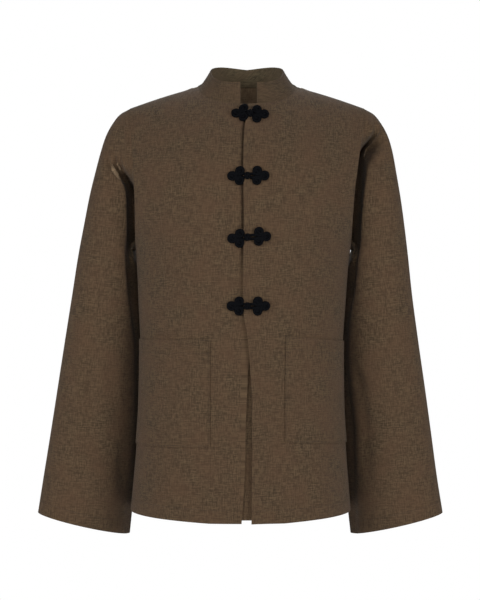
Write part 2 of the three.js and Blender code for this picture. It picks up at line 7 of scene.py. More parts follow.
# %% Load the frame
import bmesh
import bpy
import numpy as np
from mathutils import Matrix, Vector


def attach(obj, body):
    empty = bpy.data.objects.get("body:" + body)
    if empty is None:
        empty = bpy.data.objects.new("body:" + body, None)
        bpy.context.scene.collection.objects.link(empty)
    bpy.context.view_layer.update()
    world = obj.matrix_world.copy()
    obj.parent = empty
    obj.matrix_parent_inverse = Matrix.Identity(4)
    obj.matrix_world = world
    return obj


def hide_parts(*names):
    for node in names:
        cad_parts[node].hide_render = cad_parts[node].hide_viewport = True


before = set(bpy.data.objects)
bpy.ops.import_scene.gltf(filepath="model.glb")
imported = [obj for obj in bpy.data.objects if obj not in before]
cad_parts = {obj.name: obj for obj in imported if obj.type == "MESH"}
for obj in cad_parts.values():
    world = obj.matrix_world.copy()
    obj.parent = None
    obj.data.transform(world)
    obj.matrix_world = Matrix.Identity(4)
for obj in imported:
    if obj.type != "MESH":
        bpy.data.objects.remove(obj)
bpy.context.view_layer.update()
MM = 0.001

# %% [markdown]
# The camera comes first. The photograph was taken from straight in front with a long lens: the collar's
# inside only just shows, and both cuffs show their lower edges. A camera 2.6 m away at the height of the
# elbows sees the same, and its lens follows from the jacket's height in the picture.

# %% Camera
DISTANCE = 2.6
FOCAL_PIXELS = 1612        # how many picture points wide 1 m looks at 1 m
PICTURE_LONG = 600
scene = bpy.context.scene
camera = bpy.data.objects.new("camera", bpy.data.cameras.new("camera"))
camera.data.lens = camera.data.sensor_width * FOCAL_PIXELS / PICTURE_LONG
camera.location = (-0.0113, -DISTANCE, -0.326)
camera.rotation_euler = (np.pi / 2, 0, 0)
scene.collection.objects.link(camera)
scene.camera = camera
print("lens, mm:", round(camera.data.lens, 1))

# %% [markdown]
# The jacket is shown without its wearer, at the height where it would be worn, so the floor lies far
# below it. One wide disc is enough. It is pale, and the light from all round nearly whitens it.

# %% Floor
FLOOR = {"height": -1.46, "radius": 3.0}
floor_mesh = bpy.data.meshes.new("floor")
disc = bmesh.new()
bmesh.ops.create_circle(disc, cap_ends=True, radius=FLOOR["radius"], segments=96)
bmesh.ops.translate(disc, verts=disc.verts, vec=(0, 0, FLOOR["height"]))
disc.to_mesh(floor_mesh)
disc.free()
floor = bpy.data.objects.new("floor", floor_mesh)
scene.collection.objects.link(floor)
floor_paint = bpy.data.materials.new("pale_floor")
floor_paint.use_nodes = True
floor_shader = floor_paint.node_tree.nodes["Principled BSDF"]
floor_shader.inputs["Base Color"].default_value = (0.92, 0.92, 0.92, 1)
floor_shader.inputs["Roughness"].default_value = 0.9
floor_mesh.materials.append(floor_paint)

# %% [markdown]
# Studio light for dark cloth is broad and soft. Two large panels in front, at the sides, give the chest its
# form and leave the valleys between the sleeves and the body dark, as they are on the real jacket. A weaker
# one stands between them, and one high up behind lights the shoulders. The white surround fills the
# shadows: the camera sees it as plain white, and the cloth gets only a small share of it.

# %% Light
SURROUND_FILL = 0.12
world = bpy.data.worlds.new("surround")
world.use_nodes = True
sky = world.node_tree.nodes["Background"]
sky.inputs["Color"].default_value = (1, 1, 1, 1)
ray = world.node_tree.nodes.new("ShaderNodeLightPath")
share = world.node_tree.nodes.new("ShaderNodeMapRange")
share.inputs["To Min"].default_value = SURROUND_FILL
share.inputs["To Max"].default_value = 1.0
world.node_tree.links.new(ray.outputs["Is Camera Ray"], share.inputs["Value"])
world.node_tree.links.new(share.outputs["Result"], sky.inputs["Strength"])
scene.world = world
scene.view_settings.view_transform = "Standard"
LIGHTS = [
    # name, place, watts, width
    ("panel_left", (-2.4, -2.2, 0.3), 62, 1.3),
    ("panel_right", (2.4, -2.2, 0.2), 60, 1.3),
    ("panel_front", (0.0, -2.9, 1.0), 26, 0.9),
    ("panel_behind", (0.0, 2.0, 1.9), 46, 1.3),
]
for name, place, watts, width in LIGHTS:
    panel = bpy.data.objects.new(name, bpy.data.lights.new(name, "AREA"))
    panel.data.energy = watts
    panel.data.size = width
    panel.location = place
    aim = np.array((0, 0, -0.33)) - place
    panel.rotation_euler = Vector(aim).to_track_quat("-Z", "Y").to_euler()
    scene.collection.objects.link(panel)

# %% [markdown]
# The jacket's form is the one the solids were cut from: horizontal sections with flattened sides, a
# shoulder line over them, and the lines where a tailor cuts the neck and the armholes. The tables hold
# those sizes, and a curve that never overshoots runs through each column.

# %% Sizes of the body
TORSO_Z = [-675, -568, -487, -407, -326, -245, -205, -165, -125, -84, -50, -20, 20]
TORSO_WIDTH = [178, 169, 164, 163, 167, 173, 184, 197, 208, 215, 220, 224, 226]
TORSO_FRONT = [133, 127, 122, 121, 125, 129, 129, 126, 122, 118, 114, 110, 106]
TORSO_BACK = [131, 124, 118, 117, 120, 124, 124, 122, 120, 119, 117, 115, 112]
TORSO_POWER = [2.35, 2.3, 2.25, 2.2, 2.2, 2.15, 2.15, 2.15, 2.15, 2.15, 2.15, 2.15, 2.15]
NECK_HALF, NECK_Z, TIP_X, TIP_Z, UNDERARM_Z = 78, 17.5, 189, -17.5, -245
NECK_DROP_FRONT, NECK_DROP_BACK, NECK_POWER = 35, -6, 2.2
RIDGE_ROUND, RIDGE_CROWN = 30, 1.4
RISE_FRONT, RISE_BACK, RISE_POWER = 165, 120, 1.6
HEM_SIDE, HEM_FRONT, HEM_BACK = -662, -669, -662
FRONT_UNDERARM_LIFT = 8
SEAM_GAP = 0.3
LAP = 2.4
SHELL = 1.2                # thickness of the cloth that shows


def curve(places, values):
    """A smooth curve through the values that doesn't overshoot between them."""
    x, y = np.array(places, float), np.array(values, float)
    step, slope = np.diff(x), np.diff(y) / np.diff(x)
    tangent = np.zeros(len(x))
    tangent[0], tangent[-1] = slope[0], slope[-1]
    for i in range(1, len(x) - 1):
        before, after = slope[i - 1], slope[i]
        if before * after > 0:
            b, a = step[i - 1], step[i]
            tangent[i] = 3 * (a + b) / ((2 * a + b) / before + (a + 2 * b) / after)

    def at(place):
        place = np.clip(place, x[0], x[-1])
        i = np.clip(np.searchsorted(x, place, side="right") - 1, 0, len(x) - 2)
        t = (place - x[i]) / step[i]
        return ((1 + 2 * t) * (1 - t) ** 2 * y[i] + t * (1 - t) ** 2 * step[i] * tangent[i]
                + t * t * (3 - 2 * t) * y[i + 1] + t * t * (t - 1) * step[i] * tangent[i + 1])
    return at


def ease(t):
    s = np.clip(t, 0, 1)
    return s * s * (3 - 2 * s)


def mix(a, b, t):
    return a + (b - a) * t


torso_width, torso_front = curve(TORSO_Z, TORSO_WIDTH), curve(TORSO_Z, TORSO_FRONT)
torso_back, torso_power = curve(TORSO_Z, TORSO_BACK), curve(TORSO_Z, TORSO_POWER)
nape_y, NAPE_HALF = curve([-165, -100, -60, -30, 0, 24, 60], [122, 109, 94, 77, 60, 47, 30]), 77
lean = curve([-700, -552, -423, -294, -165, -20, 60], [-10.5, -9.5, -9, -7.5, -4.5, 0, 0])
armhole_x = curve([-245, -205, -165, -125, -84, -50, -17.5], [173, 172, 173, 176.5, 181, 185.5, 189])
left_edge = curve([-675, -570, -487, -405, -380, -350, -320, -200, -80, -52, -38, -16],
                  [16.5, 17, 16.5, 11, 8.5, 3, 1.5, 0, -4, -3, 0, 1.5])
right_edge = curve([-675, -590, -500, -460, -400, -310, -200, -60, -16],
                   [1, 6, 7.5, 9.5, 12, 14, 14, 13, 12])

# %% [markdown]
# Three functions turn those sizes into a surface. The first gives the height of the shoulder line, the
# second the depth of the body under it, and the third a point of the cloth, moved out along the surface's
# own normal.

# %% The body's surface


def ridge(x):
    def soft(v):
        return np.sqrt(v * v + RIDGE_ROUND ** 2)
    along = (soft(x) - soft(NECK_HALF)) / (soft(TIP_X) - soft(NECK_HALF))
    return mix(NECK_Z, TIP_Z, along) + RIDGE_CROWN * np.sin(np.pi * np.clip(along, 0, 1))


def body_y(x, z, back):
    power = torso_power(z)
    share = np.minimum(np.abs(x) / torso_width(z), 1)
    across = (1 - share ** power) ** (1 / power)
    s = np.clip((ridge(x) - z) / (RISE_BACK if back else RISE_FRONT), 0, 1)
    rise = (1 - (1 - s) ** RISE_POWER) ** (1 / RISE_POWER)
    if not back:
        return -torso_front(z) * across * rise
    nape = np.where(z > -165, (1 - np.minimum(np.abs(x) / NAPE_HALF, 1) ** 2) ** 2, 0)
    return across * mix(torso_back(z) * rise, nape_y(z), nape)


def unit(v):
    return v / np.maximum(np.linalg.norm(v, axis=-1, keepdims=True), 1e-9)


def body_normal(x, z, back):
    half = 0.5
    dx = body_y(x + half, z, back) - body_y(x - half, z, back)
    dz = body_y(x, z + half, back) - body_y(x, z - half, back)
    normal = np.stack([dx, -np.ones_like(dx), dz], -1) * (-1 if back else 1)
    side = np.stack([np.sign(x), np.zeros_like(x), np.zeros_like(x)], -1)
    return unit(np.where((np.abs(x) > torso_width(z) - half)[..., None], side, normal))


# Soft troughs (negative) and ridges of the body's cloth: from, to, half width and depth
BODY_FOLDS_FRONT = [
    ((150, -235), (118, -330), 22, -2.2),
    ((-152, -232), (-126, -345), 24, -2.4),
    ((160, -130), (128, -190), 14, -1.6),
    ((-160, -125), (-132, -185), 14, -1.6),
    ((95, -60), (70, -150), 20, 1.0),
    ((-95, -60), (-74, -160), 20, 1.0),
    ((30, -430), (52, -640), 26, -1.8),
    ((-34, -440), (-60, -640), 24, -1.8),
    ((118, -575), (134, -668), 20, 2.0),
    ((-112, -585), (-130, -668), 20, 2.0),
    ((4, -60), (6, -110), 10, -0.8),
]
BODY_FOLDS_BACK = [
    ((148, -225), (96, -330), 24, -3.0),
    ((-148, -225), (-90, -345), 22, -3.0),
    ((120, -120), (60, -190), 18, -1.8),
    ((-118, -115), (-66, -200), 20, -1.8),
    ((0, -20), (4, -110), 16, 1.2),
    ((40, -400), (62, -655), 26, -3.0),
    ((-46, -380), (-58, -655), 24, -3.2),
    ((110, -480), (124, -660), 22, 2.4),
    ((-104, -500), (-120, -660), 22, 2.4),
]


def crease(x, z, folds):
    """Height of the soft folds at a place: each one fades out past the ends of its line."""
    total = np.zeros_like(x)
    for start, end, half, depth in folds:
        line = np.subtract(end, start)
        length = np.hypot(*line)
        along = ((x - start[0]) * line[0] + (z - start[1]) * line[1]) / length ** 2
        across = ((x - start[0]) * line[1] - (z - start[1]) * line[0]) / length
        ends = ease((along + 0.25) / 0.5) * ease((1.25 - along) / 0.5)
        total += depth * np.exp(-((across / half) ** 2)) * ends
    return total


def panel_point(side, x, z, back, forward=0.0, out=0.0):
    """A point of a front or back panel on one side, leaned as the jacket hangs."""
    x, z = np.broadcast_arrays(np.asarray(x, float), np.asarray(z, float))
    normal = body_normal(x, z, back)
    side_fade = ease((torso_width(z) - np.abs(x)) / 12) * ease((ridge(x) - z) / 25)
    height = crease(side * x, z, BODY_FOLDS_BACK if back else BODY_FOLDS_FRONT) * side_fade
    y = body_y(x, z, back) + (1 if back else -1) * SEAM_GAP / 2 - forward
    point = np.stack([x, y, z], -1) + normal * (height + out)[..., None]
    point[..., 0] = side * point[..., 0] + lean(z)
    return point


# %% [markdown]
# The threads of a woven cloth run straight, whatever its cut edges do. So the place of each point in the
# flat cloth is measured on the body's surface itself: across it at a constant height, and up it at a
# constant distance from the middle. Two tables of summed lengths, one for the front and one for the back,
# hold those places.

# %% The grain of the panels
GRAIN_X, GRAIN_Z = np.linspace(0, 232, 117), np.linspace(-690, 30, 145)
STEEPEST_X = 120           # beyond this the height is measured as it is here


def grain_tables(back):
    x, z = np.meshgrid(GRAIN_X, GRAIN_Z)
    y = body_y(np.minimum(x, torso_width(z)), z, back)
    across = np.hypot(np.diff(np.minimum(x, torso_width(z)), axis=1), np.diff(y, axis=1))
    across = np.concatenate([np.zeros((len(GRAIN_Z), 1)), np.cumsum(across, 1)], 1)
    y[:, GRAIN_X > STEEPEST_X] = y[:, GRAIN_X <= STEEPEST_X][:, -1:]
    up = np.hypot(np.diff(z, axis=0), np.diff(y, axis=0))
    up = np.concatenate([np.zeros((1, len(GRAIN_X))), np.cumsum(up, 0)])
    return across, up


GRAIN = {back: grain_tables(back) for back in (False, True)}


def grain(side, x, z, back):
    """The place of a body point in the flat cloth, in metres."""
    column = np.clip(x / (GRAIN_X[1] - GRAIN_X[0]), 0, len(GRAIN_X) - 1.001)
    row = np.clip((z - GRAIN_Z[0]) / (GRAIN_Z[1] - GRAIN_Z[0]), 0, len(GRAIN_Z) - 1.001)
    c, r = column.astype(int), row.astype(int)
    u, v = column - c, row - r
    places = []
    for table in GRAIN[back]:
        low, high = mix(table[r, c], table[r, c + 1], u), mix(table[r + 1, c], table[r + 1, c + 1], u)
        places.append(mix(low, high, v))
    return np.stack([side * places[0], places[1]], -1) * MM


# %% [markdown]
# Each panel is a grid of points between its cut edges. The rows fan out from the shoulder seam down the
# armhole, then run level to the hem, so that the grain of the cloth follows them. One function gives a
# row's two ends, and the fronts add a strip beside the free edge, where the two layers lap and have to
# run parallel.

# %% Rows of the panels
ARM_CELLS, NECK_CELLS = 12, 4
ROW_BUNCH, SIDE_BUNCH = 1.25, 0.9
FINE = 6                   # how many times finer than the solid's cells
LAP_END = 46
EDGE_LIFT, EDGE_GROOVE = 2.4, 3.0       # the closing's edge stands up a little over the layer under it
EDGE_GROOVE_AT, EDGE_GROOVE_WIDE = 0.5, 1.8
STEP_MARK = 0.4               # share of the way to the next line at which the step beside the lap ends
FRONTS = {
    1: {"lines": [25, 46, 67.5], "top": (-381, -391), "low": (-545, -553)},
    -1: {"lines": [25, 48.5], "top": (-388, -388), "low": (-553, -555)},
}


def neck_point(angle, back):
    power = 2 / NECK_POWER
    x = NECK_HALF * np.sign(angle) * np.abs(np.sin(angle)) ** power
    return x, NECK_Z - (NECK_DROP_BACK if back else NECK_DROP_FRONT) * np.abs(np.cos(angle)) ** power


def neck_angle(x):
    return np.sign(x) * np.arcsin(np.minimum((np.abs(x) / NECK_HALF) ** (NECK_POWER / 2), 1))


def arm_point(angle):
    z = (TIP_Z + UNDERARM_Z) / 2 + (TIP_Z - UNDERARM_Z) / 2 * np.cos(angle)
    return armhole_x(z), z


def row_depth(k):
    return (max(k - NECK_CELLS, 0) / (ARM_CELLS - NECK_CELLS)) ** ROW_BUNCH


def low_marks(front):
    """Heights where the rows below the underarm change: the pocket's top and bottom, and the hem."""
    if front is None:
        return [(HEM_BACK, HEM_SIDE, 9)]
    return [(*front["top"], 3), (*front["low"], 3), (HEM_FRONT, HEM_SIDE, 3)]


def row_list(front, fine=FINE):
    rows = [{"k": k} for k in np.linspace(0, ARM_CELLS, ARM_CELLS * fine + 1)]
    start = (UNDERARM_Z + (0 if front is None else FRONT_UNDERARM_LIFT), UNDERARM_Z)
    for z, side_z, cells in low_marks(front):
        for t in np.linspace(0, 1, cells * fine + 1)[1:]:
            rows.append({"low": (mix(start[0], z, t), mix(start[1], side_z, t))})
        start = (z, side_z)
    return rows


def row_z(row, x, back):
    if "low" in row:
        return np.full(np.shape(x), row["low"][0])
    z = neck_point(neck_angle(x), back)[1]
    return mix(z, UNDERARM_Z + (0 if back else FRONT_UNDERARM_LIFT), row_depth(row["k"]))


def row_ends(row, inner_x, back):
    if "low" in row:
        z, side_z = row["low"]
        return (inner_x, z), (torso_width(side_z), side_z), 1
    k = row["k"]
    inner = (inner_x, float(row_z(row, inner_x, back)))
    if k <= NECK_CELLS:
        inner = neck_point(mix(np.pi / 2, neck_angle(inner_x), k / NECK_CELLS), back)
    return inner, arm_point(np.pi * k / ARM_CELLS), ease(k / ARM_CELLS)


def outer_grid(side, inner_x, back, front=None, out=0.0, cells=8 * FINE):
    """The points of a panel from inner_x to the armhole and side seam, and their places in the flat cloth."""
    u = np.linspace(0, 1, cells + 1)
    rows, places = [], []
    for row in row_list(front):
        inner, outer, bunch = row_ends(row, inner_x, back)
        f = mix(u, np.sin(np.pi / 2 * u) ** SIDE_BUNCH, bunch)
        x = mix(inner[0], outer[0], f)
        z = ridge(x) if row.get("k") == 0 else mix(inner[1], outer[1], f)
        rows.append(panel_point(side, x, z, back, out=out))
        places.append(grain(side, x, z, back))
    return np.array(rows), np.array(places)


def strip_grid(side, cells=8):
    """The points of the strip beside a front's free edge, and their places in the flat cloth."""
    front, own, other = FRONTS[side], *((left_edge, right_edge) if side > 0 else (right_edge, left_edge))
    rows, places = [], []
    for row in row_list(front):
        if "low" not in row and row["k"] < NECK_CELLS:
            continue
        level = float(row_z(row, np.float64(0), False))
        edge = side * float(own(level))
        lapped = max(side * float(other(level)), edge + 4)
        marks = [edge, lapped, mix(lapped, front["lines"][0], STEP_MARK), *front["lines"]]
        spans = [np.linspace(a, b, cells + 1)[:-1] for a, b in zip(marks, marks[1:])]
        x = np.concatenate(spans + [[marks[-1]]])
        if side > 0:
            forward = LAP * (1 - ease((x - front["lines"][0]) / (LAP_END - front["lines"][0])))
            forward = forward + EDGE_LIFT * np.exp(-(((x - edge) / 7) ** 2))
        else:
            groove = np.exp(-(((x - lapped - EDGE_GROOVE_AT) / EDGE_GROOVE_WIDE) ** 2))
            forward = -EDGE_GROOVE * groove * ease((-300 - level) / -60)
        z = row_z(row, x, False)
        rows.append(panel_point(side, x, z, False, forward=forward))
        places.append(grain(side, x, z, False))
    return np.array(rows), np.array(places)


# %% [markdown]
# A garment piece becomes a mesh in one helper. It merges the points that neighbouring grids share, lays
# the piece out flat as its cloth was cut, so that the weave runs true, and gives it a thickness with a
# Solidify modifier. The flat layout is measured along the rows and down the columns of the grid itself.

# %% From grids to a cloth piece
ROUNDING = 4
EDGE_ROUND = 0.4           # the cloth turns over its edges with this radius


def flat_places(grid, start=0.0):
    """Where each point of a grid lies in the flat cloth, in metres: across, then down."""
    across = np.linalg.norm(np.diff(grid, axis=1), axis=-1)
    across = np.concatenate([np.zeros((len(grid), 1)), np.cumsum(across, 1)], 1) + start
    down = np.linalg.norm(np.diff(grid, axis=0), axis=-1).mean(1)
    down = np.concatenate([[0], np.cumsum(down)])[:, None] + np.zeros_like(across)
    return np.stack([across, -down], -1) * MM


class Cloth:
    """Collects grids of points as faces of one piece."""

    def __init__(self):
        self.points, self.faces, self.places, self.index = [], [], [], {}

    def vertex(self, point):
        key = tuple(np.round(point, ROUNDING) + 0.0)
        if key not in self.index:
            self.index[key] = len(self.points)
            self.points.append(point * MM)
        return self.index[key]

    def grid(self, points, flip=False, places=None):
        places = flat_places(points) if places is None else places
        ids = [[self.vertex(p) for p in row] for row in points]
        for r in range(len(ids) - 1):
            for c in range(len(ids[0]) - 1):
                corners = [(r, c), (r, c + 1), (r + 1, c + 1), (r + 1, c)]
                corners = corners[::-1] if flip else corners
                kept = []
                for corner in corners:
                    i = ids[corner[0]][corner[1]]
                    if i not in [k for k, _ in kept]:
                        kept.append((i, places[corner]))
                if len(kept) > 2:
                    self.faces.append([i for i, _ in kept])
                    self.places.extend(p for _, p in kept)
        return self

    def area(self):
        """Area of the cloth, in square metres."""
        points = np.array(self.points)
        total = 0.0
        for face in self.faces:
            for i in range(1, len(face) - 1):
                a, b, c = points[[face[0], face[i], face[i + 1]]]
                total += np.linalg.norm(np.cross(b - a, c - a)) / 2
        return float(total)

    def piece(self, name, material, thickness=SHELL, inside=None):
        mesh = bpy.data.meshes.new(name)
        mesh.from_pydata([tuple(p) for p in self.points], [], self.faces)
        layer = mesh.uv_layers.new(name="flat")
        layer.data.foreach_set("uv", np.array(self.places).ravel())
        mesh.shade_smooth()
        mesh.materials.append(material)
        made = bpy.data.objects.new(name, mesh)
        scene.collection.objects.link(made)
        if thickness:
            # the inner face of every piece gets a paler copy of the linen: painted light inside the hollow
            # jacket
            mesh.materials.append(inside or INNER_LINEN_PAINTED_LIGHT)
            wall = made.modifiers.new("thickness", "SOLIDIFY")
            wall.thickness = thickness * MM
            wall.offset = -1
            wall.material_offset = 1
            edge = made.modifiers.new("turned_edge", "BEVEL")
            edge.width = EDGE_ROUND * MM
            edge.segments = 2
            edge.limit_method = "ANGLE"
            edge.angle_limit = np.radians(60)
            edge.harden_normals = True
        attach(made, "root")
        print(name, len(mesh.polygons), "faces")
        return made


# %% [markdown]
# Linen is a plain weave of uneven yarn. Threads swell and thin along their length, which gives the cloth
# its streaks across and along the grain. Noise that is stretched along the threads makes those slubs, a
# fine pair of waves makes the threads themselves, and a broad noise gives the mottled reddish and olive
# brown.

# %% Linen


class Nodes:
    """Adds shader nodes and joins them, in few words."""

    def __init__(self, name):
        self.material = bpy.data.materials.new(name)
        self.material.use_nodes = True
        self.tree = self.material.node_tree
        self.shader = self.tree.nodes["Principled BSDF"]

    def add(self, kind, settings=None, **inputs):
        node = self.tree.nodes.new(kind)
        for key, value in (settings or {}).items():
            setattr(node, key, value)
        for key, value in inputs.items():
            socket = node.inputs[key.replace("_", " ")]
            if isinstance(value, bpy.types.NodeSocket):
                self.tree.links.new(value, socket)
            else:
                socket.default_value = value
        return node

    def sum(self, operation, a, b):
        node = self.tree.nodes.new("ShaderNodeMath")
        node.operation = operation
        for socket, value in zip(node.inputs, (a, b)):
            if isinstance(value, bpy.types.NodeSocket):
                self.tree.links.new(value, socket)
            else:
                socket.default_value = value
        return node.outputs[0]

    def blend(self, share, a, b):
        node = self.tree.nodes.new("ShaderNodeMix")
        node.data_type = "RGBA"
        for socket, value in zip((node.inputs[0], node.inputs[6], node.inputs[7]), (share, a, b)):
            if isinstance(value, bpy.types.NodeSocket):
                self.tree.links.new(value, socket)
            else:
                socket.default_value = value
        return node.outputs[2]


def linen(name, dark, light, warm, pitch=0.0009):
    n = Nodes(name)
    flat = n.add("ShaderNodeTexCoord").outputs["UV"]

    def slubs(across, along, detail, place):
        mapped = n.add("ShaderNodeMapping", Vector=flat, Scale=(1 / across, 1 / along, 1), Location=place)
        return n.add("ShaderNodeTexNoise", Vector=mapped.outputs[0], Scale=1.0, Detail=detail).outputs[0]

    warp = n.sum("ADD", slubs(0.0015, 0.007, 1.0, (0, 0, 0)), slubs(0.002, 0.016, 1.0, (5, 1, 0)))
    weft = n.sum("ADD", slubs(0.007, 0.0015, 1.0, (7, 3, 0)), slubs(0.016, 0.002, 1.0, (2, 9, 0)))
    cloud = n.add("ShaderNodeTexNoise", Vector=flat, Scale=24.0, Detail=4.0).outputs[0]
    threads = n.sum("ADD", warp, weft)
    streak = n.add("ShaderNodeMapRange", Value=threads, From_Min=1.68, From_Max=2.32).outputs[0]
    base = n.blend(streak, dark, light)
    tinted = n.add("ShaderNodeMapRange", Value=cloud, From_Min=0.34, From_Max=0.68, To_Max=0.6).outputs[0]
    n.tree.links.new(n.blend(tinted, base, warm), n.shader.inputs["Base Color"])
    split = n.add("ShaderNodeSeparateXYZ", Vector=flat)
    wave_across = n.sum("SINE", n.sum("MULTIPLY", split.outputs[0], 2 * np.pi / pitch), 0.0)
    wave_along = n.sum("SINE", n.sum("MULTIPLY", split.outputs[1], 2 * np.pi / pitch), 0.0)
    weave = n.sum("MULTIPLY", n.sum("MULTIPLY", wave_across, wave_along), 0.35)
    height = n.sum("ADD", n.sum("MULTIPLY", threads, 0.8), weave)
    bump = n.add("ShaderNodeBump", Height=height, Distance=0.0005, Strength=0.6)
    n.tree.links.new(bump.outputs[0], n.shader.inputs["Normal"])
    n.shader.inputs["Roughness"].default_value = 0.92
    n.shader.inputs["Specular IOR Level"].default_value = 0.18
    n.shader.inputs["Sheen Weight"].default_value = 0.05
    n.shader.inputs["Sheen Roughness"].default_value = 0.6
    return n.material


LINEN = linen("linen", (0.036, 0.0220, 0.0110, 1), (0.091, 0.0585, 0.0305, 1), (0.078, 0.042, 0.0218, 1))
# The cloth's inner side is a copy of the linen about twice as light: painted light, standing in for light
# that reaches the inside of the jacket through the neck.
INNER_LINEN_PAINTED_LIGHT = linen(
    "inner_linen_painted_light", (0.070, 0.048, 0.0270, 1), (0.175, 0.122, 0.0710, 1), (0.150, 0.092, 0.0520, 1))
# The collar's outside is a copy of the linen about nine tenths as light: painted shade, for a darker tone on
# the collar that the lamps don't give it.
COLLAR_LINEN_PAINTED_SHADE = linen(
    "collar_linen_painted_shade", (0.032, 0.0208, 0.0105, 1), (0.082, 0.0545, 0.0290, 1), (0.070, 0.040, 0.0215, 1))
# The collar's inside is an olive copy of the linen, a little paler than the collar's outside and darker than
# the other insides: painted light inside the collar's hollow, weaker than elsewhere.
NECK_LINEN_PAINTED_LIGHT = linen(
    "neck_linen_painted_light", (0.036, 0.0275, 0.0145, 1), (0.092, 0.0690, 0.0385, 1), (0.078, 0.051, 0.0280, 1))

# %% [markdown]
# The back and the two fronts are the largest pieces. The left front laps over the right one, and its
# strip lies a cloth's thickness farther out there, sinking back to the body before the pocket.

# %% Back and fronts
SHEETS = {}


def front_cloth(side):
    cloth = Cloth()
    panel = outer_grid(side, FRONTS[side]["lines"][-1], False, FRONTS[side])
    for points, places in (strip_grid(side), panel):
        cloth.grid(points, side > 0, places)
    return cloth


back_cloth = Cloth()
for side in (1, -1):
    points, places = outer_grid(side, 0, True)
    back_cloth.grid(points, side < 0, places)
BODY = {"back": back_cloth, "front_left": front_cloth(1), "front_right": front_cloth(-1)}
for name, cloth in BODY.items():
    SHEETS[name] = (cloth.piece("cloth_" + name, LINEN), cloth.area())
    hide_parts(name)
print("areas, m2:", {name: round(area, 3) for name, (_, area) in SHEETS.items()})

# %% [markdown]
# The under placket is a narrow strip behind the right front's edge, and the pockets are patches made from
# the fronts' own points, moved out by their thickness, so that they follow every fold of what they are
# sewn to.

# %% Under placket and pockets
PLACKET = {"inside": 12, "outside": 20, "shorter": 5}
POCKET_CLOTH = 1.6
placket_rows = []
for row in row_list(FRONTS[-1]):
    if "low" in row or row["k"] > NECK_CELLS + 0.99:
        z = max(float(row_z(row, np.float64(0), False)), HEM_FRONT + PLACKET["shorter"])
        edge = float(right_edge(z))
        x = np.linspace(edge - PLACKET["inside"], edge + PLACKET["outside"], 13)
        placket_rows.append(panel_point(1, x, np.full(13, z), False, forward=-LAP))
placket = Cloth().grid(np.array(placket_rows), True)
SHEETS["under_placket"] = (placket.piece("cloth_under_placket", LINEN), placket.area())


def pocket_grid(side, out):
    first = (ARM_CELLS + 3) * FINE
    points, places = outer_grid(side, FRONTS[side]["lines"][-1], False, FRONTS[side], out=out)
    rows = slice(first, first + 3 * FINE + 1)
    return points[rows], places[rows]


for side, name in ((1, "pocket_left"), (-1, "pocket_right")):
    points, places = pocket_grid(side, SEAM_GAP + POCKET_CLOTH)
    cloth = Cloth().grid(points, side > 0, places)
    SHEETS[name] = (cloth.piece("cloth_" + name, LINEN), cloth.area())
for name in ("under_placket", "pocket_left", "pocket_right"):
    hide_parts(name)

# %% [markdown]
# The collar is one band that stands on the neckline and leans in towards the neck. It is made in levels,
# each one a little narrower than the one below, from the nape round both sides to its two front ends.

# %% Collar
COLLAR_TOP = {"side": 58.6, "front": 61.6, "back": 43.6}
COLLAR_HEIGHT = {"front": 36, "side": 26.5, "back": 27.5}
COLLAR_CREST, COLLAR_DIP, COLLAR_HOLLOW = 4, 3, 0.8
COLLAR_OVAL, COLLAR_INSET, COLLAR_LIFT = 0.85, 0.9, 0.6
COLLAR_END = {1: 15.6, -1: 10.9}
COLLAR_LEVELS = 10


def collar_point(angle, back, height):
    x, z = neck_point(angle, back)
    y = body_y(x, z, back)
    share = np.abs(np.cos(angle))
    end = "back" if back else "front"
    tall = mix(COLLAR_HEIGHT["side"], COLLAR_HEIGHT[end], share)
    tall = tall + (COLLAR_CREST if back else -COLLAR_DIP) * np.abs(np.sin(2 * angle))
    base_x, base_y = x - COLLAR_INSET * np.sin(angle), y - COLLAR_INSET * np.sign(y) * share
    base = np.stack([base_x, base_y, z + COLLAR_LIFT], -1)
    middle_y = abs(body_y(np.float64(0), neck_point(0.0, back)[1], back))
    oval = (COLLAR_TOP["back"] if back else -COLLAR_TOP["front"]) * share
    own = y * COLLAR_TOP[end] / middle_y
    top = np.stack([x * COLLAR_TOP["side"] / NECK_HALF, mix(own, oval, COLLAR_OVAL), z + tall], -1)
    point = mix(base, top, height)
    point[..., 0] = mix(base[..., 0], top[..., 0], np.sign(height) * np.abs(height) ** COLLAR_HOLLOW)
    point[..., 0] += lean(point[..., 2])
    return point


def collar_row(side, height):
    pinch = mix(1, COLLAR_TOP["side"] / NECK_HALF, np.sign(height) * np.abs(height) ** COLLAR_HOLLOW)
    end = neck_angle(COLLAR_END[side] / pinch)
    nape = collar_point(side * np.linspace(1e-6, np.pi / 2, 25), True, height)
    rest = collar_point(side * np.linspace(np.pi / 2, end, 37)[1:], False, height)
    return np.concatenate([nape, rest])


collar_rows = []
for height in np.linspace(-0.06, 1, COLLAR_LEVELS + 1):
    right, left = collar_row(-1, height), collar_row(1, height)
    collar_rows.append(np.concatenate([right[::-1], left[1:]]))
collar = Cloth().grid(np.array(collar_rows), True)
# The collar's outside has the darker linen (painted shade). Its inside has an olive copy that is paler than
# the outside (painted light).
SHEETS["collar"] = (collar.piece("cloth_collar", COLLAR_LINEN_PAINTED_SHADE, 1.8, NECK_LINEN_PAINTED_LIGHT), collar.area())
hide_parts("collar")

# %% [markdown]
# A sleeve is a tube. Its rings turn from the armhole's own outline into ovals that hang beside the body,
# and the body's side presses them flat where they touch. Rings at the sections of the table are joined by
# smooth curves.

